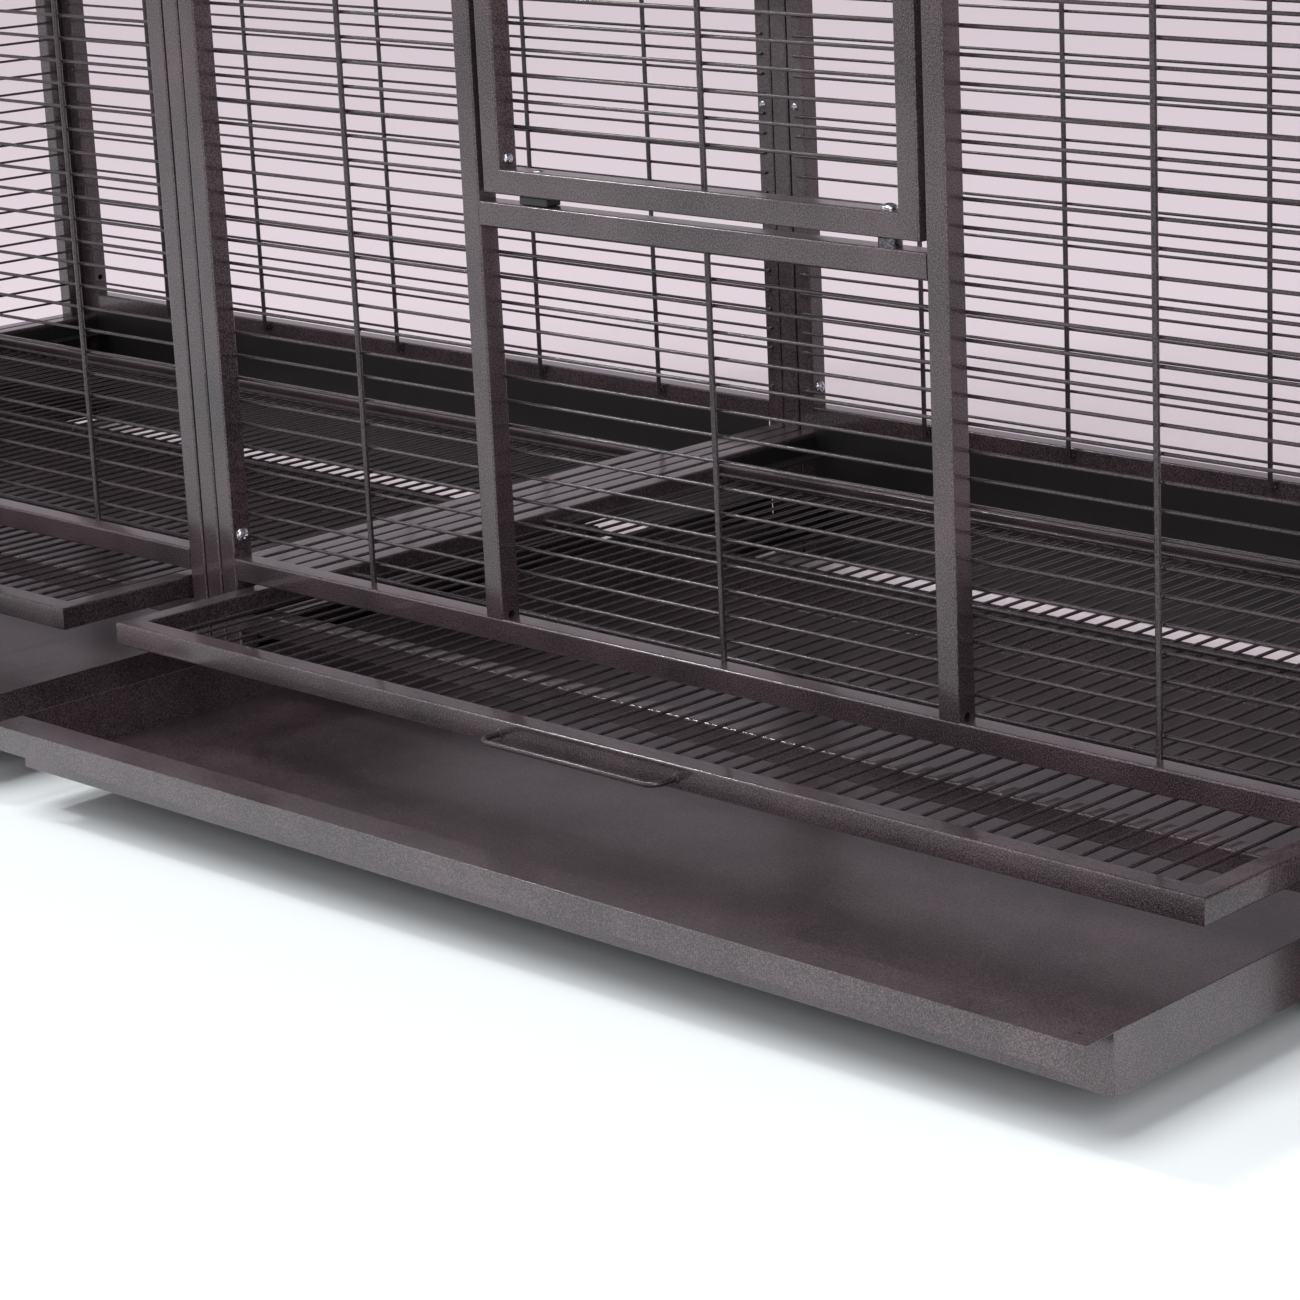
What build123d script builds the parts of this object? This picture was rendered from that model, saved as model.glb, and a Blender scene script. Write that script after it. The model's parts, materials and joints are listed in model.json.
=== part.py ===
from build123d import *
import os

# Double bird aviary, in millimetres.
# Two bays of welded wire panels stand side by side on square-tube legs. Each bay has a door,
# a floor grate and a tray that slide out at the front.
# X runs along the width, Y from front to back and Z up. The model is drawn with X = 0 at the
# middle post and Y = 0 at the front faces, and moved to its floor centre when it is saved.

# Stock
tube = 20.0
tube_wall = 1.2
wire = 3.0
stay = 5.0
sheet = 1.2
tray_sheet = 1.0

# Overall
bay_width = 1200.0
frame_depth = 780.0
foot_height = 6.0
foot_plug = 9.0
base_height = 145.0
pitch = 20.4
first_wire = 16.0
wire_rows = 63
lap = 10.0
washer = 2.2

# Front panel
upright_offset = 346.0
rows_below_door = 16
rows_beside_door = 31
row_to_rail = 3.7
front_stay_left = 186.0
front_stay_right = 176.0
drain_hole = 7.0
drain_rise = 2.0

# Rear panel, side panels and roof
rear_stays = (176.0, 361.0, 600.0, 839.0, 1024.0)
rear_stay_lap = 12.0
side_stay_offset = 260.0
roof_stay_offset = 300.0

# Door and its hinge bolts, pad and turn button
door_side_gap = 6.0
door_bottom_gap = 7.0
door_top_gap = 6.0
hinge_offset = 36.0
hinge_bolt = 6.0
hinge_hole = 6.6
hinge_head = 13.0
hinge_head_height = 4.0
hinge_spacer = 18.0
pad_offset = 39.0
pad_length = 31.0
pad_depth = 16.0
button_width = 14.0
button_length = 60.0
button_thick = 2.5
button_height = 320.0
button_bore = 5.6
button_screw = 5.0
button_screw_head = 10.0
button_screw_head_height = 2.5
button_knob = 8.0
button_knob_height = 8.0
head_taper = 0.5

# Frame bolts
bolt = 6.0
bolt_hole = 6.6
bolt_head = 13.0
bolt_head_height = 4.0
bolt_rise = 20.0
nut = 10.0
nut_height = 5.0
nut_sides = 6
washer_size = 14.0
washer_sides = 8

# Base, grate and tray
grate_gap = 6.5
grate_margin = 25.5
grate_depth = 748.0
grate_out = 135.6
grate_wire_drop = 11.5
grate_rods = (245.0, 485.0, 720.0)
handle_span = 194.0
handle_reach = 25.0
handle_rod = 5.0
handle_bend = 9.0
handle_drop = 11.0
runner_sheet = 1.5
runner_reach = 22.0
grate_runner_height = 18.0
tray_runner_height = 32.0
tray_floor = 35.0
tray_margin = 22.5
tray_height = 45.0
tray_depth = 745.0
tray_out = 237.0
lip_reach = 29.0
lip_height = 21.6
tray_hole = 5.0
tray_hole_offset = 64.5
tray_hole_rise = 10.0
skirt_foot = 6.0

# Clearances
running = 0.3
seat = 0.2

# Levels and places that follow from the sizes above
bay_pitch = bay_width + tube + 2 * washer
bays = {"left": tube / 2 + washer - bay_pitch, "right": tube / 2 + washer}
rear_face = frame_depth - tube
rail_top = base_height + tube


def row_height(row):
    return rail_top + first_wire + row * pitch


top_rail_low = row_height(wire_rows - 1) + first_wire
panel_top = top_rail_low + tube
crossbar_low = row_height(rows_below_door - 1) + row_to_rail
crossbar_top = crossbar_low + tube
header_top = row_height(rows_below_door + rows_beside_door) - row_to_rail
header_low = header_top - tube
grate_top = base_height - grate_gap
grate_low = grate_top - tube
base_rail_top = grate_low - running
front_reach = max(tray_out + lip_reach, grate_out + handle_reach)
footprint_centre = (frame_depth - front_reach) / 2


def block(x, y, z):
    """A box between the pairs of limits x, y and z."""
    middle = Pos((x[0] + x[1]) / 2, (y[0] + y[1]) / 2, (z[0] + z[1]) / 2)
    return middle * Box(x[1] - x[0], y[1] - y[0], z[1] - z[0])


def shrink(limits, by):
    return (limits[0] + by, limits[1] - by)


def tube_between(along, x, y, z):
    """A straight open-ended square tube that fills the limits and runs along one axis."""
    bore = {
        "x": (x, shrink(y, tube_wall), shrink(z, tube_wall)),
        "y": (shrink(x, tube_wall), y, shrink(z, tube_wall)),
        "z": (shrink(x, tube_wall), shrink(y, tube_wall), z),
    }
    return block(x, y, z) - block(*bore[along])


def rod_between(axis, start, end, across, size):
    """A wire along one axis, drawn square, centred on the two other coordinates."""
    sides = [(centre - size / 2, centre + size / 2) for centre in across]
    place = {"x": 0, "y": 1, "z": 2}[axis]
    sides.insert(place, (start, end))
    return block(*sides)


def pin_along_x(x, y, z, diameter):
    length = abs(x[1] - x[0])
    return Pos((x[0] + x[1]) / 2, y, z) * Rot(0, 90, 0) * Cylinder(diameter / 2, length)


def pin_along_y(y, x, z, diameter):
    length = abs(y[1] - y[0])
    return Pos(x, (y[0] + y[1]) / 2, z) * Rot(90, 0, 0) * Cylinder(diameter / 2, length)


def pin_along_z(z, x, y, diameter):
    return Pos(x, y, (z[0] + z[1]) / 2) * Cylinder(diameter / 2, abs(z[1] - z[0]))


def pan_head(plane, diameter, height):
    """A pan screw head, narrower at its top, that stands on the plane."""
    top = diameter / 2 - head_taper * height
    return plane * (Pos(0, 0, height / 2) * Cone(diameter / 2, top, height))


def mitred_frame(plane, width, height):
    """Four square tubes with mitred ends round a rectangle that starts at the plane's origin."""

    def corners(inset):
        return [
            (inset, inset),
            (width - inset, inset),
            (width - inset, height - inset),
            (inset, height - inset),
        ]

    def side(number, near, far, depth):
        after = (number + 1) % 4
        outline = [corners(near)[number], corners(near)[after], corners(far)[after], corners(far)[number]]
        return extrude(make_face(Polyline(*outline, close=True)), depth)

    sides = []
    for number in range(4):
        skin = side(number, 0, tube, tube)
        hollow = Pos(0, 0, tube_wall) * side(number, tube_wall, tube - tube_wall, tube - 2 * tube_wall)
        sides.append(plane * (skin - hollow))
    return sides


def save(name, solids):
    """Move the solids to the floor centre and write them to their own file."""
    moved = [Pos(0, -footprint_centre, 0) * solid for solid in solids]
    shape = moved[0] if len(moved) == 1 else Compound(children=moved)
    export_step(shape, f"parts/{name}.step")


# Posts and their bolts: each post is one portal leg between the stiles of its neighbours.

bolt_levels = (rail_top + bolt_rise, top_rail_low - bolt_rise)
post_rows = (tube / 2, frame_depth - tube / 2)


def post_bolts():
    """Head face, direction of the head, and the grip up to the wall that carries the nut."""
    half = tube / 2
    across_middle = 2 * (tube + washer) + tube_wall
    across_side = tube + washer + tube_wall
    return [
        (half + washer + tube, 1, across_middle),
        (bay_pitch + half, 1, across_side),
        (-bay_pitch - half, -1, across_side),
    ]


def bolt_holes():
    holes = []
    for face, way, grip in post_bolts():
        for y in post_rows:
            for z in bolt_levels:
                end = face - way * (grip + tube)
                holes.append(pin_along_x((end, face), y, z, bolt_hole))
    return holes


def drilled(solids, holes):
    """The solids with every hole that reaches them cut."""
    result = []
    for solid in solids:
        box = solid.bounding_box()
        for hole in holes:
            reach = hole.bounding_box()
            apart = any(
                getattr(box.max, axis) <= getattr(reach.min, axis)
                or getattr(reach.max, axis) <= getattr(box.min, axis)
                for axis in "XYZ"
            )
            if not apart:
                solid = solid - hole
        result.append(solid)
    return result


def make_bolts():
    bolts = []
    nuts = []
    washers = []
    for face, way, grip in post_bolts():
        gaps = [face - way * tube]
        if grip > tube * 2:
            gaps.append(face - way * (2 * tube + washer))
        for y in post_rows:
            for z in bolt_levels:
                tip = face - way * (grip + nut_height + running)
                shank = pin_along_x((tip, face), y, z, bolt)
                seat_plane = Plane(origin=(face, y, z), x_dir=(0, 1, 0), z_dir=(way, 0, 0))
                bolts.append(shank + pan_head(seat_plane, bolt_head, bolt_head_height))
                nut_face = face - way * grip
                nut_plane = Plane(origin=(nut_face, y, z), x_dir=(0, 1, 0), z_dir=(-way, 0, 0))
                body = extrude(RegularPolygon(nut / 2, nut_sides, major_radius=False), nut_height)
                nuts.append(nut_plane * (body - Cylinder(bolt_hole / 2, 2 * nut_height + tube)))
                for gap in gaps:
                    middle = gap - way * washer / 2
                    plate = RegularPolygon(washer_size / 2, washer_sides)
                    plate -= RegularPolygon(bolt_hole / 2 + seat, washer_sides)
                    ring = extrude(plate, washer / 2, both=True)
                    washers.append(Plane(origin=(middle, y, z), z_dir=(1, 0, 0)) * ring)
    return bolts, nuts, washers


def portal(centre):
    """Two legs, a bottom rail and a top rail in the plane of a post."""
    x = (centre - tube / 2, centre + tube / 2)
    inside = (tube, rear_face)
    return [
        tube_between("z", x, (0, tube), (foot_height, panel_top)),
        tube_between("z", x, (rear_face, frame_depth), (foot_height, panel_top)),
        tube_between("y", x, inside, (grate_low, grate_top)),
        tube_between("y", x, inside, (top_rail_low, panel_top)),
    ]


def upright_frame(left, y):
    """Stiles that run down as legs, a bottom rail and a top rail."""
    inside = (left + tube, left + bay_width - tube)
    return [
        tube_between("z", (left, left + tube), y, (foot_height, panel_top)),
        tube_between("z", (inside[1], inside[1] + tube), y, (foot_height, panel_top)),
        tube_between("x", inside, y, (base_height, rail_top)),
        tube_between("x", inside, y, (top_rail_low, panel_top)),
    ]


def front_frame(left):
    """The upright frame with two drained uprights, and a crossbar and header round the doorway."""
    y = (0, tube)
    first = left + upright_offset
    second = left + bay_width - upright_offset - tube
    doorway = (first + tube, second)
    uprights = []
    for x in (first, second):
        face = x + tube
        wall = (face - 2 * tube_wall, face + tube_wall)
        drain = pin_along_x(wall, tube / 2, rail_top + drain_rise, drain_hole)
        uprights.append(tube_between("z", (x, face), y, (rail_top, top_rail_low)) - drain)
    return upright_frame(left, y) + uprights + [
        tube_between("x", doorway, y, (crossbar_low, crossbar_top)),
        tube_between("x", doorway, y, (header_low, header_top)),
    ]


def front_mesh(left):
    """Level wires lapped on the inner faces, and stay wires in the frame's depth."""
    y = tube + wire / 2
    ends = (left + tube - lap, left + bay_width - tube + lap)
    beside = (left + upright_offset + lap, left + bay_width - upright_offset - lap)
    wires = []
    for row in range(wire_rows):
        z = row_height(row)
        if rows_below_door <= row < rows_below_door + rows_beside_door:
            wires.append(rod_between("x", ends[0], beside[0], (y, z), wire))
            wires.append(rod_between("x", beside[1], ends[1], (y, z), wire))
        else:
            wires.append(rod_between("x", ends[0], ends[1], (y, z), wire))
    stay_y = tube - stay / 2
    middle = left + bay_width / 2
    for x in (left + front_stay_left, left + bay_width - front_stay_right):
        wires.append(rod_between("z", rail_top, top_rail_low, (x, stay_y), stay))
    wires.append(rod_between("z", rail_top, crossbar_low, (middle, stay_y), stay))
    wires.append(rod_between("z", header_top, top_rail_low, (middle, stay_y), stay))
    return wires


def rear_mesh(left):
    """Level wires lapped on the inner faces, with stay wires inside them."""
    y = rear_face - wire / 2
    ends = (left + tube - lap, left + bay_width - tube + lap)
    wires = [rod_between("x", ends[0], ends[1], (y, row_height(row)), wire) for row in range(wire_rows)]
    stay_y = rear_face - wire - stay / 2
    for offset in rear_stays:
        z = (rail_top - rear_stay_lap, top_rail_low + rear_stay_lap)
        wires.append(rod_between("z", z[0], z[1], (left + offset, stay_y), stay))
    return wires


def side_stiles(centre):
    """The side panel's own stiles, which stand on the portal's bottom rail."""
    x = (centre - tube / 2, centre + tube / 2)
    z = (grate_top, top_rail_low)
    near = (tube + washer, 2 * tube + washer)
    far = (rear_face - washer - tube, rear_face - washer)
    return [tube_between("z", x, near, z), tube_between("z", x, far, z)]


def side_mesh(centre):
    """Level wires lapped on the inner faces of the side stiles, with stay wires inside them."""
    way = -1 if centre > 0 else 1
    face = centre + way * tube / 2
    ends = (2 * tube + washer - lap, rear_face - washer - tube + lap)
    rows = int((top_rail_low - grate_top) / pitch)
    wires = []
    for row in range(1, rows):
        z = grate_top + row * pitch
        wires.append(rod_between("y", ends[0], ends[1], (face + way * wire / 2, z), wire))
    stay_x = face + way * (wire + stay / 2)
    last = grate_top + (rows - 1) * pitch
    for y in (side_stay_offset, frame_depth - side_stay_offset):
        wires.append(rod_between("z", grate_top + pitch - stay, last + stay, (stay_x, y), stay))
    return wires


def roof_span(side):
    outer = bay_pitch + tube / 2
    return (washer / 2, outer) if side == "right" else (-outer, -washer / 2)


def roof_frame(side):
    """A frame of four tubes that lies on the panels' top rails."""
    x = roof_span(side)
    z = (panel_top, panel_top + tube)
    inside = (x[0] + tube, x[1] - tube)
    return [
        tube_between("y", (x[0], x[0] + tube), (0, frame_depth), z),
        tube_between("y", (x[1] - tube, x[1]), (0, frame_depth), z),
        tube_between("x", inside, (0, tube), z),
        tube_between("x", inside, (rear_face, frame_depth), z),
    ]


def even_places(low, high):
    """Wire centres at the pitch, with the same gap left at both ends."""
    count = int((high - low) / pitch)
    start = (low + high - (count - 1) * pitch) / 2
    return [start + number * pitch for number in range(count)]


def roof_mesh(side):
    """Wires along the width, welded to the tubes' inner faces, with stay wires under them."""
    x = shrink(roof_span(side), tube)
    z = panel_top + tube / 2
    wires = [rod_between("x", x[0], x[1], (y, z), wire) for y in even_places(tube, rear_face)]
    stay_z = z - wire / 2 - stay / 2
    for place in (x[0] + roof_stay_offset, (x[0] + x[1]) / 2, x[1] - roof_stay_offset):
        wires.append(rod_between("y", tube, rear_face, (place, stay_z), stay))
    return wires


def base_frame(left):
    """Side rails level with the grate, and front and rear rails that it slides on."""
    inside = (tube, rear_face)
    across = (left + tube, left + bay_width - tube)
    low = (base_rail_top - tube, base_rail_top)
    return [
        tube_between("y", (left, left + tube), inside, (grate_low, grate_top)),
        tube_between("y", (across[1], across[1] + tube), inside, (grate_low, grate_top)),
        tube_between("x", across, (0, tube), low),
        tube_between("x", across, (rear_face, frame_depth), low),
    ]


def angle_pair(left, y, z, height):
    """Two folded angles on the inner faces of the side rails or legs, facing each other."""
    rails = []
    for edge, way in ((left + tube, 1), (left + bay_width - tube, -1)):
        outline = [(0, z), (way * runner_reach, z), (way * runner_reach, z + runner_sheet)]
        outline += [(way * runner_sheet, z + runner_sheet), (way * runner_sheet, z + height), (0, z + height)]
        face = make_face(Polyline(*outline, close=True))
        plane = Plane(origin=(edge, y[1], 0), x_dir=(1, 0, 0), z_dir=(0, -1, 0))
        rails.append(plane * extrude(face, y[1] - y[0]))
    return rails


def back_skirt(left):
    """The sheet that closes the base at the rear, on the rear base rail's inner face."""
    x = (left + tube, left + bay_width - tube)
    return [block(x, (rear_face - sheet, rear_face), (skirt_foot, base_height))]


def side_skirt(centre):
    """The sheet that closes the base at one side, on the portal legs' inner faces."""
    way = -1 if centre > 0 else 1
    face = centre + way * tube / 2
    x = sorted((face, face + way * sheet))
    return [block(x, (0, frame_depth), (skirt_foot, grate_low))]


def feet():
    """A pad under every leg, with a plug that sits in the tube."""
    lefts = [centre - tube / 2 for centre in (-bay_pitch, 0, bay_pitch)]
    for left in bays.values():
        lefts += [left, left + bay_width - tube]
    pads = []
    for x in sorted(lefts):
        for y in (0, rear_face):
            pad = block((x, x + tube), (y, y + tube), (0, foot_height))
            inset = tube_wall + seat
            plug_top = foot_height + foot_plug
            plug = block(shrink((x, x + tube), inset), shrink((y, y + tube), inset), (foot_height, plug_top))
            pads.append(pad + plug)
    return pads


# Door, hung on two upright bolts near its right edge.


def door_limits(left):
    inset = upright_offset + tube + door_side_gap
    x = (left + inset, left + bay_width - inset)
    z = (crossbar_top + door_bottom_gap, header_low - door_top_gap)
    return x, z


def door_frame(left):
    x, z = door_limits(left)
    plane = Plane(origin=(x[0], tube, z[0]), x_dir=(1, 0, 0), z_dir=(0, -1, 0))
    tubes = mitred_frame(plane, x[1] - x[0], z[1] - z[0])
    hole = pin_along_z((z[0] - tube, z[1] + tube), x[1] - hinge_offset, tube / 2, hinge_hole)
    return drilled(tubes, [hole])


def door_mesh(left):
    x, z = door_limits(left)
    inside = shrink(z, tube)
    y = tube + wire / 2
    ends = shrink(x, tube - lap)
    wires = [rod_between("x", ends[0], ends[1], (y, level), wire) for level in even_places(*inside)[1:-1]]
    stay_y = tube - stay / 2
    wires.append(rod_between("z", inside[0], inside[1], (sum(x) / 2, stay_y), stay))
    return wires


def door_pad(left):
    """The pad under the door's free corner, which rides on the crossbar."""
    x, z = door_limits(left)
    start = x[0] + pad_offset
    middle = tube / 2
    y = (middle - pad_depth / 2, middle + pad_depth / 2)
    return [block((start, start + pad_length), y, (z[0] - door_bottom_gap + running, z[0]))]


def hinge_bolts(left):
    """Upright bolts through the door's rails into the crossbar and the header."""
    x, z = door_limits(left)
    axis = x[1] - hinge_offset
    y = tube / 2
    bolts = []
    for rail, frame, way in ((z[0] + tube, crossbar_top, 1), (z[1] - tube, header_low, -1)):
        face = rail + way * seat
        shank = pin_along_z((frame, face), axis, y, hinge_bolt)
        seat_plane = Plane(origin=(axis, y, face), z_dir=(0, 0, way))
        bolts.append(shank + pan_head(seat_plane, hinge_head, hinge_head_height))
    return bolts


def hinge_spacers(left):
    """Collars on the hinge bolts that hold the door off the crossbar and the header."""
    x, z = door_limits(left)
    axis = x[1] - hinge_offset
    collars = []
    for low, high in ((crossbar_top, z[0] - running), (z[1] + running, header_low)):
        collar = pin_along_z((low, high), axis, tube / 2, hinge_spacer)
        collars.append(collar - pin_along_z((low, high), axis, tube / 2, hinge_hole))
    return collars


def button_place(left):
    return left + upright_offset + tube / 2, crossbar_top + button_height


def turn_button(left):
    """A round-ended plate that turns over the door's edge, with a finger knob."""
    x, z = button_place(left)
    plate = SlotCenterToCenter(button_length - button_width, button_width, rotation=90)
    plate = plate - Circle(button_bore / 2)
    back = Plane(origin=(x, -seat, z), x_dir=(1, 0, 0), z_dir=(0, -1, 0))
    body = back * extrude(plate, button_thick)
    low = z - (button_length - button_width) / 2
    front = -seat - button_thick
    return [body + pin_along_y((front, front - button_knob_height), x, low, button_knob)]


def button_screw_at(left):
    x, z = button_place(left)
    front = -button_thick - 2 * seat
    shank = pin_along_y((0, front), x, z, button_screw)
    seat_plane = Plane(origin=(x, front, z), z_dir=(0, -1, 0))
    return shank + pan_head(seat_plane, button_screw_head, button_screw_head_height)


# Grate and tray, drawn as far out as they stand in use.


def grate_limits(left):
    return (left + grate_margin, left + bay_width - grate_margin), (-grate_out, grate_depth - grate_out)


def grate_frame(left):
    x, y = grate_limits(left)
    return mitred_frame(Plane(origin=(x[0], y[0], grate_low)), x[1] - x[0], y[1] - y[0])


def grate_wires(left):
    x, y = grate_limits(left)
    ends = shrink(y, tube)
    z = grate_top - grate_wire_drop
    return [rod_between("y", ends[0], ends[1], (place, z), wire) for place in even_places(*shrink(x, tube))]


def grate_cross_rods(left):
    """Rods across the grate, laid on its wires and welded to the side tubes."""
    x, y = grate_limits(left)
    ends = shrink(x, tube)
    z = grate_top - grate_wire_drop + wire / 2 + stay / 2
    return [rod_between("x", ends[0], ends[1], (y[0] + place, z), stay) for place in grate_rods]


def grate_handle(left):
    """A rod bent to a shallow loop on the grate's front face."""
    x, y = grate_limits(left)
    middle = sum(x) / 2
    half = handle_span / 2 - handle_rod / 2
    reach = handle_reach - handle_rod / 2
    level = grate_top - handle_drop
    plane = Plane(origin=(middle, y[0], level))
    route = plane * FilletPolyline((-half, 0), (-half, -reach), (half, -reach), (half, 0), radius=handle_bend)
    section = Plane(origin=(middle - half, y[0], level), z_dir=(0, -1, 0)) * RegularPolygon(handle_rod / 2, 8)
    return [sweep(section, path=route)]


def tray(left):
    """A folded sheet tray, with a lip along the front that turns forward and down."""
    x = (left + tray_margin, left + bay_width - tray_margin)
    y = (-tray_out, tray_depth - tray_out)
    top = tray_floor + tray_height
    body = block(x, y, (tray_floor, top))
    body -= block(shrink(x, tray_sheet), shrink(y, tray_sheet), (tray_floor + tray_sheet, top))
    lip = block(x, (y[0] - lip_reach, y[0]), (top - tray_sheet, top))
    lip += block(x, (y[0] - lip_reach, y[0] - lip_reach + tray_sheet), (top - lip_height, top))
    hole_y = (y[0] - tray_sheet, y[0] + 2 * tray_sheet)
    hole = pin_along_y(hole_y, x[0] + tray_hole_offset, tray_floor + tray_hole_rise, tray_hole)
    return [body + lip - hole]


def build():
    holes = bolt_holes()
    posts = {"left_side_frame": -bay_pitch, "middle_frame": 0.0, "right_side_frame": bay_pitch}
    for name, centre in posts.items():
        save(name, drilled(portal(centre), holes))

    for side, left in bays.items():
        outer = -bay_pitch if side == "left" else bay_pitch
        save(f"{side}_front_frame", drilled(front_frame(left), holes))
        save(f"{side}_front_mesh", front_mesh(left))
        save(f"{side}_rear_frame", drilled(upright_frame(left, (rear_face, frame_depth)), holes))
        save(f"{side}_rear_mesh", rear_mesh(left))
        save(f"{side}_side_stiles", side_stiles(outer))
        save(f"{side}_side_mesh", side_mesh(outer))
        save(f"{side}_roof_frame", roof_frame(side))
        save(f"{side}_roof_mesh", roof_mesh(side))
        save(f"{side}_base_frame", base_frame(left))
        runner_y = (tube, rear_face - sheet)
        low = grate_low - running - runner_sheet
        save(f"{side}_grate_runners", angle_pair(left, runner_y, low, grate_runner_height))
        low = tray_floor - running - runner_sheet
        save(f"{side}_tray_runners", angle_pair(left, (0, rear_face - sheet), low, tray_runner_height))
        save(f"{side}_back_skirt", back_skirt(left))
        save(f"{side}_side_skirt", side_skirt(outer))
        save(f"{side}_door_frame", door_frame(left))
        save(f"{side}_door_mesh", door_mesh(left))
        save(f"{side}_door_pad", door_pad(left))
        save(f"{side}_hinge_bolts", hinge_bolts(left))
        save(f"{side}_hinge_spacers", hinge_spacers(left))
        save(f"{side}_turn_button", turn_button(left))
        save(f"{side}_grate_frame", grate_frame(left))
        save(f"{side}_grate_wires", grate_wires(left))
        save(f"{side}_grate_rods", grate_cross_rods(left))
        save(f"{side}_grate_handle", grate_handle(left))
        save(f"{side}_tray", tray(left))

    bolts, nuts, washers = make_bolts()
    save("frame_bolts", bolts)
    save("frame_nuts", nuts)
    save("frame_washers", washers)
    save("button_screws", [button_screw_at(left) for left in bays.values()])
    save("leg_feet", feet())


os.makedirs("parts", exist_ok=True)
build()
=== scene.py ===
import bpy
import bmesh
import json
from math import radians
from mathutils import Matrix, Vector


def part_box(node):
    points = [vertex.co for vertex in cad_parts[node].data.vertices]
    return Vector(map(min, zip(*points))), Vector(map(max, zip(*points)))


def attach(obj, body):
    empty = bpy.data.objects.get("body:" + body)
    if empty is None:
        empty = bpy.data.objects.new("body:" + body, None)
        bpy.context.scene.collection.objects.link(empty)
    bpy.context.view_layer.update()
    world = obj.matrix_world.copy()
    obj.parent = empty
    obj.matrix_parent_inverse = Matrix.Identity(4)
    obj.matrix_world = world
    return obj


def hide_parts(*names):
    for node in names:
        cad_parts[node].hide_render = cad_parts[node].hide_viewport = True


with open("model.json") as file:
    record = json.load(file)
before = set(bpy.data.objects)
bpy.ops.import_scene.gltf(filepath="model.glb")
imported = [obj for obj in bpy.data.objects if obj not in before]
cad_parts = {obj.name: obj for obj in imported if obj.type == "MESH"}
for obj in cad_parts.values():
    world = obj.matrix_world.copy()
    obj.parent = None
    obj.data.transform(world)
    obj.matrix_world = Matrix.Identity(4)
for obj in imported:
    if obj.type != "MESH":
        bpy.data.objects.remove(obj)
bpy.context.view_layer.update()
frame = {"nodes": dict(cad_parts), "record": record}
record = frame["record"]
nodeBody = {node: body for body, nodes in record["behaviour"]["bodies"].items() for node in nodes}
nodeSlot = {part["node"]: part["material_slot"] for part in record["subparts"]}
sides = ("left", "right")
print("frame loaded:", len(nodeSlot), "nodes")


# shader groups and materials

def newGroup(name, inputs, outputs):
    group = bpy.data.node_groups.new(name, "ShaderNodeTree")
    for label, value in inputs:
        socket = group.interface.new_socket(label, in_out="INPUT", socket_type="NodeSocketFloat")
        socket.default_value = value
    for label in outputs:
        group.interface.new_socket(label, in_out="OUTPUT", socket_type="NodeSocketFloat")
    return group, group.nodes.new("NodeGroupInput"), group.nodes.new("NodeGroupOutput")


def addMath(tree, operation, first, second):
    node = tree.nodes.new("ShaderNodeMath")
    node.operation = operation
    for socket, value in zip(node.inputs, (first, second)):
        if isinstance(value, (int, float)):
            socket.default_value = value
        else:
            tree.links.new(value, socket)
    return node.outputs[0]


def addNoise(tree, place, scale, detail, roughness):
    noise = tree.nodes.new("ShaderNodeTexNoise")
    noise.inputs["Scale"].default_value = scale
    noise.inputs["Detail"].default_value = detail
    noise.inputs["Roughness"].default_value = roughness
    tree.links.new(place, noise.inputs["Vector"])
    return noise


def addRamp(tree, factor, first, last, stops=(0.0, 1.0)):
    ramp = tree.nodes.new("ShaderNodeValToRGB")
    for element, position, colour in zip(ramp.color_ramp.elements, stops, (first, last)):
        element.position = position
        element.color = colour + (1,)
    tree.links.new(factor, ramp.inputs["Fac"])
    return ramp.outputs["Color"]


# enamel that dried in small dimples: cells a little over a millimetre wide over a slow unevenness
enamelGrain = {
    "cellsPerMetre": 620.0, "smoothness": 0.6, "grainScale": 1.15, "grainDetail": 3.0, "grainRoughness": 0.65,
    "cloudScale": 14.0, "cloudDetail": 2.0, "cloudRoughness": 0.5, "speckleTone": 1.9, "cloudTone": 0.35,
    "speckleHeight": 0.7, "toneStops": (0.28, 0.95), "dimpleHeight": 0.0004,
}


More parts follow.
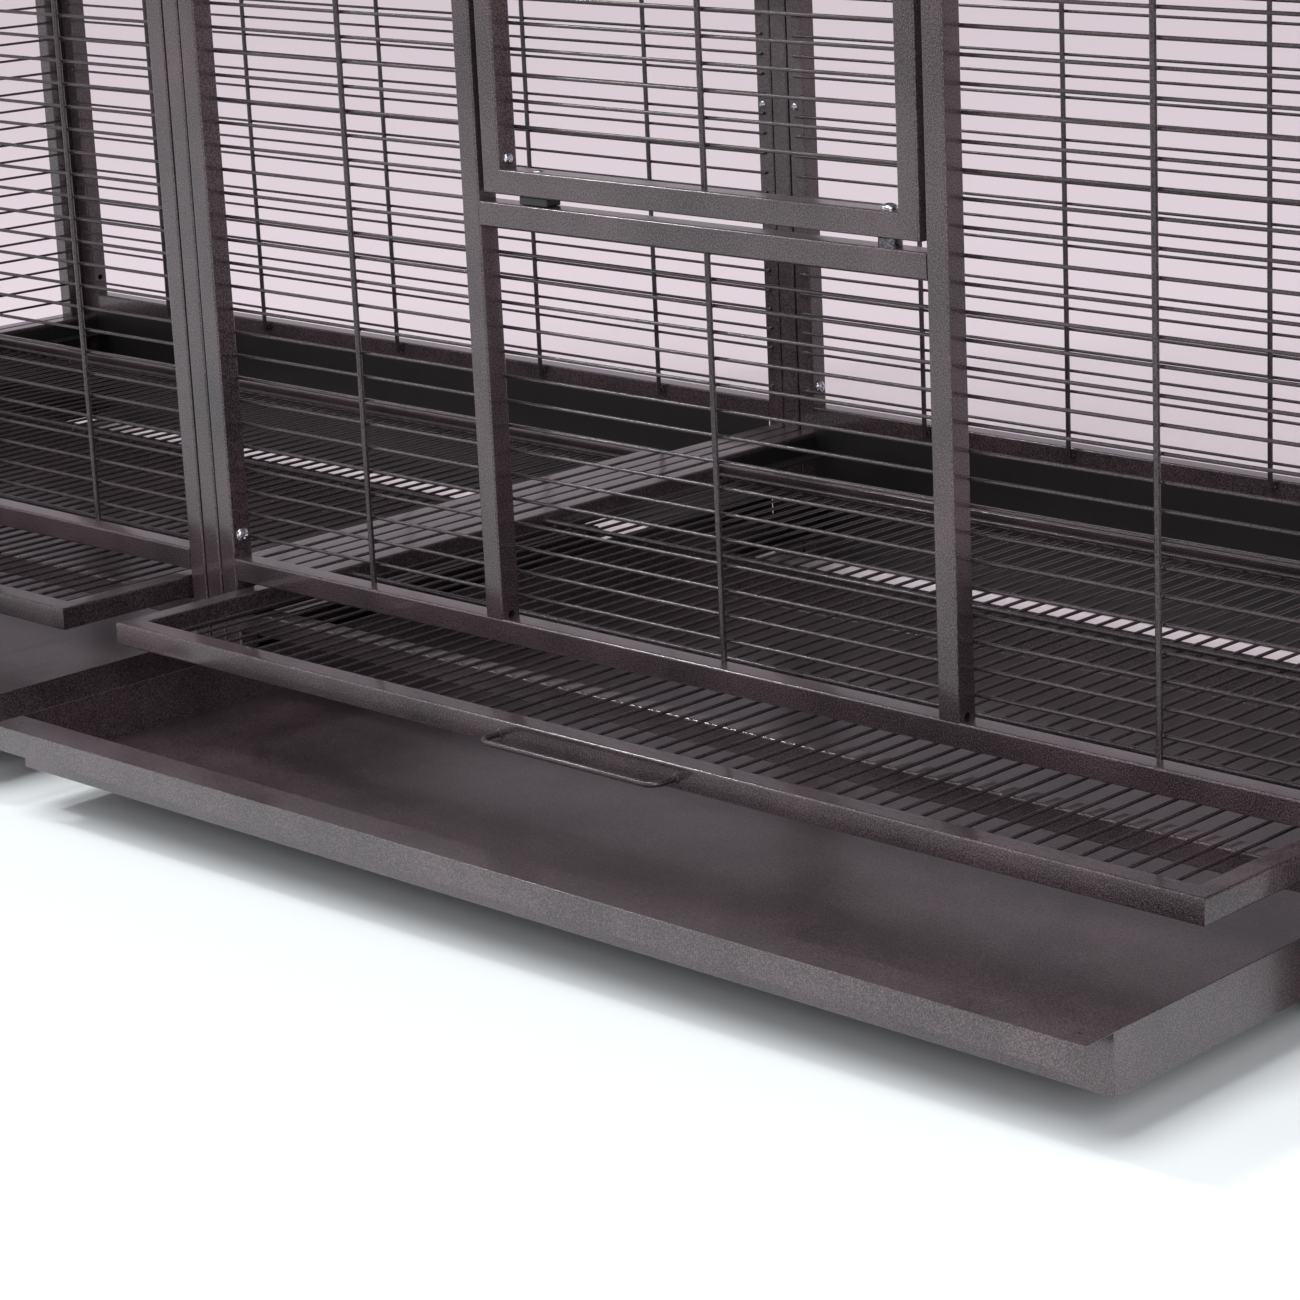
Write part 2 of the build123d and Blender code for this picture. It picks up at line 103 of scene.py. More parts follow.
def buildHammeredGroup():
    values = enamelGrain
    inputs = (("Cell Size", 1.0), ("Depth", 1.0), ("Contrast", 1.0), ("Gloss Change", 0.1))
    group, source, target = newGroup("hammeredEnamel", inputs, ("Tone", "Height", "Roughness Change"))
    link = group.links.new
    place = group.nodes.new("ShaderNodeTexCoord").outputs["Object"]
    cellScale = addMath(group, "DIVIDE", values["cellsPerMetre"], source.outputs["Cell Size"])
    cells = group.nodes.new("ShaderNodeTexVoronoi")
    cells.feature = "SMOOTH_F1"
    cells.inputs["Smoothness"].default_value = values["smoothness"]
    link(place, cells.inputs["Vector"])
    link(cellScale, cells.inputs["Scale"])
    grain = addNoise(group, place, 1.0, values["grainDetail"], values["grainRoughness"])
    link(addMath(group, "MULTIPLY", cellScale, values["grainScale"]), grain.inputs["Scale"])
    cloud = addNoise(group, place, values["cloudScale"], values["cloudDetail"], values["cloudRoughness"])
    speckle = addMath(group, "SUBTRACT", grain.outputs["Fac"], 0.5)
    slow = addMath(group, "SUBTRACT", cloud.outputs["Fac"], 0.5)
    speckleTone = addMath(group, "MULTIPLY", speckle, values["speckleTone"])
    cloudTone = addMath(group, "MULTIPLY", slow, values["cloudTone"])
    change = addMath(group, "ADD", speckleTone, cloudTone)
    tone = addMath(group, "ADD", addMath(group, "MULTIPLY", change, source.outputs["Contrast"]), 0.5)
    link(tone, target.inputs["Tone"])
    rise = addMath(group, "MULTIPLY", speckle, values["speckleHeight"])
    height = addMath(group, "ADD", cells.outputs["Distance"], rise)
    link(addMath(group, "MULTIPLY", height, source.outputs["Depth"]), target.inputs["Height"])
    glossChange = addMath(group, "MULTIPLY", speckle, source.outputs["Gloss Change"])
    link(glossChange, target.inputs["Roughness Change"])
    return group


hammeredGroup = buildHammeredGroup()


def startMaterial(name, metallic, coat, coatRoughness):
    material = bpy.data.materials.new(name)
    material.use_nodes = True
    shader = material.node_tree.nodes["Principled BSDF"]
    shader.inputs["Metallic"].default_value = metallic
    shader.inputs["Coat Weight"].default_value = coat
    shader.inputs["Coat Roughness"].default_value = coatRoughness
    return material, material.node_tree, shader


enamelInputs = {
    "Cell Size": "cellSize", "Contrast": "contrast", "Depth": "depth", "Gloss Change": "glossChange",
}


def paintMaterial(name, values):
    material, tree, shader = startMaterial(name, values["metallic"], values["coat"], values["coatRoughness"])
    link = tree.links.new
    enamel = tree.nodes.new("ShaderNodeGroup")
    enamel.node_tree = hammeredGroup
    for label, key in enamelInputs.items():
        enamel.inputs[label].default_value = values[key]
    colour = addRamp(tree, enamel.outputs["Tone"], values["dark"], values["light"], enamelGrain["toneStops"])
    link(colour, shader.inputs["Base Color"])
    rough = addMath(tree, "ADD", enamel.outputs["Roughness Change"], values["roughness"])
    link(rough, shader.inputs["Roughness"])
    bump = tree.nodes.new("ShaderNodeBump")
    bump.inputs["Strength"].default_value = values["bump"]
    bump.inputs["Distance"].default_value = enamelGrain["dimpleHeight"]
    link(enamel.outputs["Height"], bump.inputs["Height"])
    link(bump.outputs["Normal"], shader.inputs["Normal"])
    return material


hammeredPaint = {
    "dark": (0.009, 0.0066, 0.0072), "light": (0.108, 0.072, 0.080), "metallic": 0.4, "roughness": 0.38,
    "coat": 0.8, "coatRoughness": 0.12, "cellSize": 0.8, "contrast": 2.6, "depth": 1.0, "glossChange": 0.4,
    "bump": 0.5,
}
wirePaint = {
    "dark": (0.010, 0.0078, 0.0086), "light": (0.090, 0.067, 0.073), "metallic": 0.4, "roughness": 0.3,
    "coat": 0.35, "coatRoughness": 0.14, "cellSize": 0.8, "contrast": 1.6, "depth": 0.6, "glossChange": 0.2,
    "bump": 0.25,
}
trayPaint = {
    "dark": (0.016, 0.0118, 0.0132), "light": (0.132, 0.091, 0.101), "metallic": 0.4, "roughness": 0.34,
    "coat": 0.95, "coatRoughness": 0.2, "cellSize": 0.7, "contrast": 2.2, "depth": 0.6, "glossChange": 0.3,
    "bump": 0.3,
}
blackPaint = {
    "dark": (0.003, 0.0025, 0.003), "light": (0.014, 0.012, 0.013), "metallic": 0.1, "roughness": 0.42,
    "coat": 0.35, "coatRoughness": 0.22, "cellSize": 1.2, "contrast": 1.2, "depth": 0.5, "glossChange": 0.1,
    "bump": 0.2,
}
zincPlate = {
    "dark": (0.36, 0.37, 0.41), "light": (0.80, 0.81, 0.84), "metallic": 1.0, "roughness": 0.22,
    "coat": 0.0, "coatRoughness": 0.1, "cellSize": 1.6, "contrast": 0.7, "depth": 0.2, "glossChange": 0.25,
    "bump": 0.1,
}
# a darker copy of the zinc for the hinge collars: its dark colour is painted shade, standing in for the dark
# surroundings the collars reflect
zincShadedCopy = {
    "dark": (0.030, 0.029, 0.031), "light": (0.210, 0.205, 0.215), "metallic": 1.0, "roughness": 0.34,
    "coat": 0.0, "coatRoughness": 0.1, "cellSize": 1.2, "contrast": 1.2, "depth": 0.4, "glossChange": 0.3,
    "bump": 0.2,
}
blackPlastic = {
    "dark": (0.006, 0.006, 0.006), "light": (0.020, 0.020, 0.021), "metallic": 0.0, "roughness": 0.5,
    "coat": 0.0, "coatRoughness": 0.3, "cellSize": 0.8, "contrast": 1.0, "depth": 0.5, "glossChange": 0.15,
    "bump": 0.15,
}

materials = {
    "hammered_paint": paintMaterial("hammeredPaint", hammeredPaint),
    "wire_paint": paintMaterial("wirePaint", wirePaint),
    "tray_paint": paintMaterial("trayPaint", trayPaint),
    "black_paint": paintMaterial("blackPaint", blackPaint),
    "zinc": paintMaterial("zincPlate", zincPlate),
    "black_plastic": paintMaterial("blackPlastic", blackPlastic),
}
for node, slotName in nodeSlot.items():
    cadObject = frame["nodes"][node]
    cadObject.data.materials.clear()
    cadObject.data.materials.append(materials[slotName])
# the hinge collars get the darker zinc copy, painted shade for their dark reflections
collarShadedZinc = paintMaterial("zincShadedCopy", zincShadedCopy)
for side in sides:
    frame["nodes"][side + "_hinge_spacers"].data.materials[0] = collarShadedZinc
print("materials ready")


sharpAngle = 40  # degrees between faces, past which an edge stays sharp
mergeGap = 1e-6
weldFlat = 1  # degrees between faces, under which they become one


# turns a bmesh into an object, smooth apart from its sharp edges
def makeObject(name, bm, material):
    mesh = bpy.data.meshes.new(name)
    bm.to_mesh(mesh)
    bm.free()
    mesh.polygons.foreach_set("use_smooth", [True] * len(mesh.polygons))
    mesh.set_sharp_from_angle(angle=radians(sharpAngle))
    mesh.materials.append(material)
    made = bpy.data.objects.new(name, mesh)
    bpy.context.scene.collection.objects.link(made)
    return made


# a piece that stands for one CAD node
def addPiece(name, bm, node):
    piece = makeObject(name, bm, materials[nodeSlot[node]])
    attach(piece, nodeBody[node])
    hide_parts(node)
    return piece


# a piece that has no CAD node
def addLoosePiece(name, bm, body, slotName):
    piece = makeObject(name, bm, materials[slotName])
    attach(piece, body)


def evenNormals(piece):
    normals = piece.modifiers.new("evenNormals", "WEIGHTED_NORMAL")
    normals.keep_sharp = True


# which of a mitred frame's four tubes a face belongs to, from the point just behind it
def mitredTube(face, low, high, axes):
    behind = 0.001
    inside = face.calc_center_median() - face.normal * behind
    gaps = []
    for axis in axes:
        gaps += [inside[axis] - low[axis], high[axis] - inside[axis]]
    return gaps.index(min(gaps))


# the CAD node's own faces, joined up; a mitred frame's tubes stay apart
def openCopy(node, mitreAxes=None):
    bm = bmesh.new()
    bm.from_mesh(frame["nodes"][node].data)
    bm.normal_update()
    tubes = {}
    low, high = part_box(node)
    for face in bm.faces:
        tubeNumber = mitredTube(face, low, high, mitreAxes) if mitreAxes else 0
        tubes.setdefault(tubeNumber, {}).update(dict.fromkeys(face.verts))  # keeps the faces' order
    for verts in tubes.values():
        bmesh.ops.remove_doubles(bm, verts=list(verts), dist=mergeGap)
    shared = [edge for edge in bm.edges if len(edge.link_faces) > 2]
    bmesh.ops.split_edges(bm, edges=shared)
    bmesh.ops.dissolve_limit(bm, angle_limit=radians(weldFlat), verts=bm.verts, edges=bm.edges)
    return bm


def faceWidth(face):
    return face.calc_area() / max(edge.calc_length() for edge in face.edges)


# corners of the boxes round a node's separate solids, as (low, high) pairs
def solidBoxes(node):
    bm = bmesh.new()
    bm.from_mesh(frame["nodes"][node].data)
    bmesh.ops.remove_doubles(bm, verts=bm.verts, dist=mergeGap)
    waiting = set(bm.verts)
    boxes = []
    for first in bm.verts:
        if first not in waiting:
            continue
        waiting.remove(first)
        group = [first]
        for vert in group:
            for edge in vert.link_edges:
                other = edge.other_vert(vert)
                if other in waiting:
                    waiting.remove(other)
                    group.append(other)
        low = Vector([min(vert.co[i] for vert in group) for i in range(3)])
        high = Vector([max(vert.co[i] for vert in group) for i in range(3)])
        boxes.append((low, high))
    bm.free()
    return boxes


# rolled tube edges, and a small chamfer round each tube end that shows as the welded seam
roundedEdges = {
    "radius": 0.0019, "segments": 3, "shortest": 0.030, "longest": 10.0, "rim": 0.0004, "rimShortest": 0.0005,
    "leastTurn": 55,
}
smallEdges = {  # radius, and the shortest edge that gets it
    "door_pad": (0.0012, 0.005),
    "turn_button": (0.0006, 0.02),
    "leg_feet": (0.0012, 0.004),
}


def sharpEdges(bm, shortest, longest):
    return [
        edge for edge in bm.edges
        if len(edge.link_faces) == 2 and shortest <= edge.calc_length() < longest
        and edge.is_convex and edge.calc_face_angle() > radians(roundedEdges["leastTurn"])
    ]


def bevelEdges(bm, edges, offset, segments):
    bmesh.ops.bevel(
        bm, geom=edges, offset=offset, offset_type="OFFSET", segments=segments, profile=0.5,
        affect="EDGES", clamp_overlap=True, material=-1,
    )


def addRounded(node, radius=None, shortest=None, mitreAxes=None):
    bm = openCopy(node, mitreAxes)
    offset = radius or roundedEdges["radius"]
    folds = []
    for edge in sharpEdges(bm, shortest or roundedEdges["shortest"], roundedEdges["longest"]):
        if min(faceWidth(face) for face in edge.link_faces) > 2 * offset:
            folds.append(edge)
    bevelEdges(bm, folds, offset, roundedEdges["segments"])
    if radius is None:
        seams = sharpEdges(bm, roundedEdges["rimShortest"], roundedEdges["shortest"])
        bevelEdges(bm, seams, roundedEdges["rim"], 1)
    evenNormals(addPiece(node + "_rounded", bm, node))


tubeNodes = ["left_side_frame", "middle_frame", "right_side_frame"]
for side in sides:
    for part in ("front_frame", "rear_frame", "side_stiles", "roof_frame", "base_frame"):
        tubeNodes.append(side + "_" + part)
for node in tubeNodes:
    addRounded(node)
for side in sides:
    addRounded(side + "_door_frame", mitreAxes=(0, 2))
    addRounded(side + "_grate_frame", mitreAxes=(0, 1))
print("tubes rounded:", len(tubeNodes))


# wires

wireDetail = {"segments": 12, "endInset": 0.003, "stayBlobOut": 0.0015}
weldSpots = {  # radius, and half the thickness
    "wireEnd": (0.0021, 0.0016),
    "crossing": (0.002625, 0.00192),
    "stayEnd": (0.0042, 0.0022),
    "grateWireEnd": (0.00231, 0.0018),
    "grateRodEnd": (0.0042, 0.0022),
    "handleEnd": (0.0046, 0.0022),
    "trayLip": (0.0032, 0.0007),
}
axisTurn = {
    0: Matrix.Rotation(radians(90), 4, "Y"),
    1: Matrix.Rotation(radians(90), 4, "X"),
    2: Matrix.Identity(4),
}


def longAxis(low, high):
    size = high - low
    return max(range(3), key=lambda i: size[i])


def addRod(bm, low, high):
    axis = longAxis(low, high)
    radius = min(high[i] - low[i] for i in range(3)) / 2
    place = Matrix.Translation((low + high) / 2) @ axisTurn[axis]
    bmesh.ops.create_cone(
        bm, cap_ends=True, segments=wireDetail["segments"], radius1=radius, radius2=radius,
        depth=high[axis] - low[axis], matrix=place,
    )


def addSpot(bm, centre, flat, kind):
    radius, thickness = weldSpots[kind]
    scale = Vector((radius, radius, radius))
    scale[flat] = thickness
    place = Matrix.Translation(centre) @ Matrix.Diagonal(scale.to_4d())
    bmesh.ops.create_icosphere(bm, subdivisions=1, radius=1.0, matrix=place)


# a spot weld wherever two wires of different directions touch
def addCrossings(bm, boxes, flat):
    byAxis = {}
    for low, high in boxes:
        byAxis.setdefault(longAxis(low, high), []).append((low, high))
    if len(byAxis) < 2:
        return
    firstAxis, secondAxis = sorted(byAxis, key=lambda axis: len(byAxis[axis]))
    for thickLow, thickHigh in byAxis[firstAxis]:
        for thinLow, thinHigh in byAxis[secondAxis]:
            along = (thickLow[secondAxis] + thickHigh[secondAxis]) / 2
            across = (thinLow[firstAxis] + thinHigh[firstAxis]) / 2
            if not thinLow[secondAxis] < along < thinHigh[secondAxis]:
                continue
            if not thickLow[firstAxis] < across < thickHigh[firstAxis]:
                continue
            centre = Vector((0, 0, 0))
            centre[secondAxis] = along
            centre[firstAxis] = across
            middles = ((thickLow[flat] + thickHigh[flat]) / 2, (thinLow[flat] + thinHigh[flat]) / 2)
            centre[flat] = sum(middles) / 2
            addSpot(bm, centre, flat, "crossing")


def addEndSpots(bm, low, high, flat, towards):
    axis = longAxis(low, high)
    face = low[flat] if towards < 0 else high[flat]
    for end, way in ((low[axis], 1), (high[axis], -1)):
        centre = (low + high) / 2
        centre[axis] = end + way * wireDetail["endInset"]
        centre[flat] = face
        addSpot(bm, centre, flat, "wireEnd")


# weld blobs at the ends of the rear stay wires, on the rails
def addStayBlobs(bm, boxes):
    inset = weldSpots["stayEnd"][0]
    for low, high in boxes:
        if longAxis(low, high) == 2:
            for z in (low.z + inset, high.z - inset):
                centre = Vector(((low.x + high.x) / 2, high.y + wireDetail["stayBlobOut"], z))
                addSpot(bm, centre, 1, "stayEnd")


def addMat(node, flat, lapTowards=0):
    boxes = solidBoxes(node)
    bm = bmesh.new()
    levelAxis = 1 if "side" in node else 0
    for low, high in boxes:
        addRod(bm, low, high)
        if lapTowards and longAxis(low, high) == levelAxis:
            addEndSpots(bm, low, high, flat, lapTowards)
    addCrossings(bm, boxes, flat)
    if "rear" in node:
        addStayBlobs(bm, boxes)
    addPiece(node + "_wires", bm, node)


for side in sides:
    addMat(side + "_front_mesh", 1, -1)
    addMat(side + "_door_mesh", 1, -1)
    addMat(side + "_rear_mesh", 1, 1)
    addMat(side + "_side_mesh", 0, -1 if side == "left" else 1)
    addMat(side + "_roof_mesh", 2)
print("wire mats ready")


# the grate's wires and cross rods, welded where they meet and at their ends
def addGrate(side):
    wires = solidBoxes(side + "_grate_wires")
    rods = solidBoxes(side + "_grate_rods")
    bm = bmesh.new()
    for low, high in wires:
        addRod(bm, low, high)
        for y in (low.y, high.y):
            centre = Vector(((low.x + high.x) / 2, y, (low.z + high.z) / 2))
            addSpot(bm, centre, 1, "grateWireEnd")
    addPiece(side + "_grate_wires_round", bm, side + "_grate_wires")
    bm = bmesh.new()
    for low, high in rods:
        addRod(bm, low, high)
        for x in (low.x, high.x):
            centre = Vector((x, (low.y + high.y) / 2, (low.z + high.z) / 2))
            addSpot(bm, centre, 0, "grateRodEnd")
    addCrossings(bm, wires + rods, 2)
    addPiece(side + "_grate_rods_round", bm, side + "_grate_rods")


# a rod bent to a loop, grown from one ring of points
handleShape = {"bend": 0.0105, "ring": 14, "bendSteps": 6}


def addHandle(side):
    node = side + "_grate_handle"
    low, high = [Vector(corner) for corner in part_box(node)]
    radius = (high.z - low.z) / 2
    bend = handleShape["bend"]
    level = (low.z + high.z) / 2
    straight = high.y - low.y - radius - bend
    bm = bmesh.new()
    start = Matrix.Translation((low.x + radius, high.y, level)) @ Matrix.Rotation(radians(90), 4, "X")
    ring = bmesh.ops.create_circle(bm, segments=handleShape["ring"], radius=radius, matrix=start)["verts"]

    def ringEdges(verts):
        chosen = set(verts)
        return [edge for edge in bm.edges if edge.verts[0] in chosen and edge.verts[1] in chosen]

    def extrudeRing(verts, move):
        made = bmesh.ops.extrude_edge_only(bm, edges=ringEdges(verts))["geom"]
        moved = [item for item in made if isinstance(item, bmesh.types.BMVert)]
        bmesh.ops.translate(bm, verts=moved, vec=move)
        return moved

    def spinRing(verts, centre):
        made = bmesh.ops.spin(
            bm, geom=list(verts) + ringEdges(verts), cent=centre, axis=(0, 0, 1), dvec=(0, 0, 0),
            angle=radians(90), steps=handleShape["bendSteps"], use_merge=False, use_duplicate=False,
        )["geom_last"]
        return [item for item in made if isinstance(item, bmesh.types.BMVert)]

    ring = extrudeRing(ring, (0, -straight, 0))
    ring = spinRing(ring, (low.x + radius + bend, high.y - straight, level))
    ring = extrudeRing(ring, (high.x - low.x - 2 * radius - 2 * bend, 0, 0))
    ring = spinRing(ring, (high.x - radius - bend, high.y - straight, level))
    extrudeRing(ring, (0, straight, 0))
    bmesh.ops.recalc_face_normals(bm, faces=bm.faces)
    for x in (low.x + radius, high.x - radius):
        addSpot(bm, Vector((x, high.y, level)), 1, "handleEnd")
    addPiece(node + "_rod", bm, node)


for side in sides:
    addGrate(side)
    addHandle(side)
print("grates ready")


# trays: folded sheet, with two spot welds on the lip
trayDetail = {
    "fold": 0.0011, "segments": 3, "shortest": 0.015, "leastTurn": 60, "leastWidth": 0.004,
    "spotInset": 0.0175, "spotDepth": 0.015,
}


def addTray(side):
    node = side + "_tray"
    low, high = [Vector(corner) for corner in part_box(node)]
    bm = openCopy(node)
    folds = []
    for edge in bm.edges:
        if len(edge.link_faces) != 2 or edge.calc_length() < trayDetail["shortest"]:
            continue
        if edge.calc_face_angle() < radians(trayDetail["leastTurn"]):
            continue
        if min(faceWidth(face) for face in edge.link_faces) > trayDetail["leastWidth"]:
            folds.append(edge)
    bevelEdges(bm, folds, trayDetail["fold"], trayDetail["segments"])
    for x in (low.x + trayDetail["spotInset"], high.x - trayDetail["spotInset"]):
        addSpot(bm, Vector((x, low.y + trayDetail["spotDepth"], high.z)), 2, "trayLip")
    evenNormals(addPiece(node + "_folded", bm, node))


for side in sides:
    addTray(side)
    addRounded(side + "_door_pad", *smallEdges["door_pad"])
    addRounded(side + "_turn_button", *smallEdges["turn_button"])
addRounded("leg_feet", *smallEdges["leg_feet"])
print("trays and pads ready")


# fasteners: a domed head with a cross recess, made once at unit size
screwShape = {
    "outline": [(0, 1), (0.45, 0.94), (0.78, 0.72), (0.95, 0.42), (1, 0.16), (1, 0)],
    "steps": 28, "recess": 0.52, "slot": 0.17, "depth": 0.55, "crossLevel": 1.02, "merge": 1e-5,
    "shankSides": 16,
}


def headMesh():
    bm = bmesh.new()
    verts = [bm.verts.new((x, 0, z)) for x, z in screwShape["outline"]]
    edges = [bm.edges.new(pair) for pair in zip(verts, verts[1:])]
    bmesh.ops.spin(
        bm, geom=verts + edges, cent=(0, 0, 0), axis=(0, 0, 1), dvec=(0, 0, 0), angle=radians(360),
        steps=screwShape["steps"], use_merge=True, use_duplicate=False,
    )
    bmesh.ops.remove_doubles(bm, verts=bm.verts, dist=screwShape["merge"])
    bmesh.ops.holes_fill(bm, edges=[edge for edge in bm.edges if edge.is_boundary], sides=0)
    bmesh.ops.recalc_face_normals(bm, faces=bm.faces)
    head = bpy.data.meshes.new("screwHead")
    bm.to_mesh(head)
    bm.free()
    bm = bmesh.new()
    reach, half = screwShape["recess"], screwShape["slot"]
    for size in ((reach, half), (half, reach)):
        scale = Matrix.Diagonal((2 * size[0], 2 * size[1], 2 * screwShape["depth"], 1))
        place = Matrix.Translation((0, 0, screwShape["crossLevel"]))
        bmesh.ops.create_cube(bm, size=1.0, matrix=place @ scale)
    cross = bpy.data.meshes.new("screwCross")
    bm.to_mesh(cross)
    bm.free()
    headObject = bpy.data.objects.new("screwHead", head)
    crossObject = bpy.data.objects.new("screwCross", cross)
    for item in (headObject, crossObject):
        bpy.context.scene.collection.objects.link(item)
    cut = headObject.modifiers.new("recess", "BOOLEAN")
    cut.operation = "DIFFERENCE"
    cut.solver = "EXACT"
    cut.use_self = True
    cut.object = crossObject
    shaped = bpy.data.meshes.new_from_object(headObject.evaluated_get(bpy.context.evaluated_depsgraph_get()))
    for item in (headObject, crossObject):
        bpy.data.objects.remove(item)
    return shaped


screwHead = headMesh()


def addScrew(bm, low, high, axis, way, sizes):
    headWidth, headHeight, shank = sizes["head"], sizes["height"], sizes["shank"]
    middle = (low + high) / 2
    top = high[axis] if way > 0 else low[axis]
    direction = Vector((0, 0, 0))
    direction[axis] = way
    turn = direction.to_track_quat("Z", "Y").to_matrix().to_4x4()
    seat = middle.copy()
    seat[axis] = top - way * headHeight
    scale = Matrix.Diagonal((headWidth / 2, headWidth / 2, headHeight, 1))
    before = set(bm.verts)
    bm.from_mesh(screwHead)
    added = [vert for vert in bm.verts if vert not in before]
    bmesh.ops.transform(bm, matrix=Matrix.Translation(seat) @ turn @ scale, verts=added)
    length = high[axis] - low[axis] - headHeight
    middle[axis] = seat[axis] - way * length / 2
    bmesh.ops.create_cone(
        bm, cap_ends=True, segments=screwShape["shankSides"], radius1=shank / 2, radius2=shank / 2,
        depth=length, matrix=Matrix.Translation(middle) @ axisTurn[axis],
    )


bolt = {"head": 0.013, "height": 0.004, "shank": 0.006}
buttonScrew = {"head": 0.010, "height": 0.0025, "shank": 0.005}
leftPostEnd = -0.5  # frame bolts left of this have their heads on the left


def addFasteners(node, axis, wayOf, sizes):
    bm = bmesh.new()
    for low, high in solidBoxes(node):
        addScrew(bm, low, high, axis, wayOf(low, high), sizes)
    addPiece(node + "_shaped", bm, node)


addFasteners("frame_bolts", 0, lambda low, high: -1 if high.x < leftPostEnd else 1, bolt)
doorLevel = sum(corner[2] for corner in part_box("right_door_frame")) / 2
for side in sides:
    addFasteners(side + "_hinge_bolts", 2, lambda low, high: 1 if high.z < doorLevel else -1, bolt)
addFasteners("button_screws", 1, lambda low, high: -1, buttonScrew)


# small screws that the doors and the rear posts have besides the bolts
tubeSize = 0.020
doorScrew = {"head": 0.0095, "height": 0.0028, "shank": 0.004, "length": 0.004, "above": 0.0075}
padScrew = {"head": 0.0095, "height": 0.0012, "shank": 0.004, "length": 0.004, "along": 0.0545}
postScrew = {
    "head": 0.008, "height": 0.0026, "shank": 0.004, "length": 0.0035, "offCentre": -0.002,
    "rise": 0.311, "stayLap": 0.012,  # above the rear rail's top, and how far the stay wires reach below it
}


def addExtraScrew(bm, point, axis, way, sizes):
    low, high = Vector(point), Vector(point)
    for i in range(3):
        if i != axis:
            low[i] -= sizes["shank"] / 2
            high[i] += sizes["shank"] / 2
    reach = (sizes["height"], -sizes["length"]) if way > 0 else (sizes["length"], -sizes["height"])
    high[axis] += reach[0]
    low[axis] += reach[1]
    addScrew(bm, low, high, axis, way, sizes)


def addDoorScrews(side):
    low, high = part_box(side + "_door_frame")
    middle = (low[1] + high[1]) / 2
    inside = (low[0] + tubeSize, low[2] + tubeSize)
    bm = bmesh.new()
    addExtraScrew(bm, (inside[0], middle, inside[1] + doorScrew["above"]), 0, 1, doorScrew)
    addExtraScrew(bm, (low[0] + padScrew["along"], middle, inside[1]), 2, 1, padScrew)
    addLoosePiece(side + "_door_screws", bm, side + "_door", "zinc")


def addPostScrews():
    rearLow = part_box("right_rear_frame")[0]
    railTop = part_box("right_rear_mesh")[0][2] + postScrew["stayLap"]
    stileMiddle = rearLow[0] + tubeSize / 2
    bm = bmesh.new()
    for x in (-stileMiddle, stileMiddle):
        point = (x + postScrew["offCentre"], rearLow[1], railTop + postScrew["rise"])
        addExtraScrew(bm, point, 1, -1, postScrew)
    addLoosePiece("rear_post_screws", bm, "cage", "zinc")


for side in sides:
    addDoorScrews(side)
addPostScrews()
print("fasteners ready")


# floor, light and camera

# floor colours: the far colour, and the turn placed under the cage, also paint the shade beneath the cage
floorShape = {
    "size": 26.0, "near": (0.90, 0.955, 0.965), "far": (0.80, 0.70, 0.745), "turnsFrom": -0.1,
    "turnsTo": 0.35, "roughness": 0.45,
}


# pale floor that turns from cool white in front to a darker pink behind, the turn lying under the cage: the
# darker pink is partly the backdrop's own tint and partly painted shade under the cage
def addFloor():
    bm = bmesh.new()
    bmesh.ops.create_grid(bm, x_segments=1, y_segments=1, size=floorShape["size"] / 2)
    material, tree, shader = startMaterial("paleFloor", 0.0, 0.0, 0.3)
    shader.inputs["Roughness"].default_value = floorShape["roughness"]
    place = tree.nodes.new("ShaderNodeTexCoord")
    split = tree.nodes.new("ShaderNodeSeparateXYZ")
    tree.links.new(place.outputs["Object"], split.inputs[0])
    spread = tree.nodes.new("ShaderNodeMapRange")
    spread.inputs["From Min"].default_value = floorShape["turnsFrom"]
    spread.inputs["From Max"].default_value = floorShape["turnsTo"]
    tree.links.new(split.outputs["Y"], spread.inputs["Value"])
    colour = addRamp(tree, spread.outputs["Result"], floorShape["near"], floorShape["far"])
    tree.links.new(colour, shader.inputs["Base Color"])
    makeObject("floor", bm, material)


studio = {"horizon": (0.80, 0.72, 0.79), "zenith": (0.20, 0.19, 0.205), "horizonEnds": 0.55, "strength": 1.0}
skyLight = {"place": (0, 0, 4), "towards": (0.12, 0.40, -0.91), "strength": 2.1, "angle": 40}
softboxes = {
    "frontRight": {"place": (4.2, -2.8, 2.4), "aim": (0.6, -0.1, 0.4), "size": 2.2, "power": 100},
    "frontLeft": {"place": (-2.6, -3.6, 2.2), "aim": (0.4, 0.0, 0.3), "size": 2.2, "power": 25},
    "edgeLight": {"place": (-2.9, -1.6, 3.7), "aim": (0.4, 0.0, 0.3), "size": 0.4, "power": 60},
}


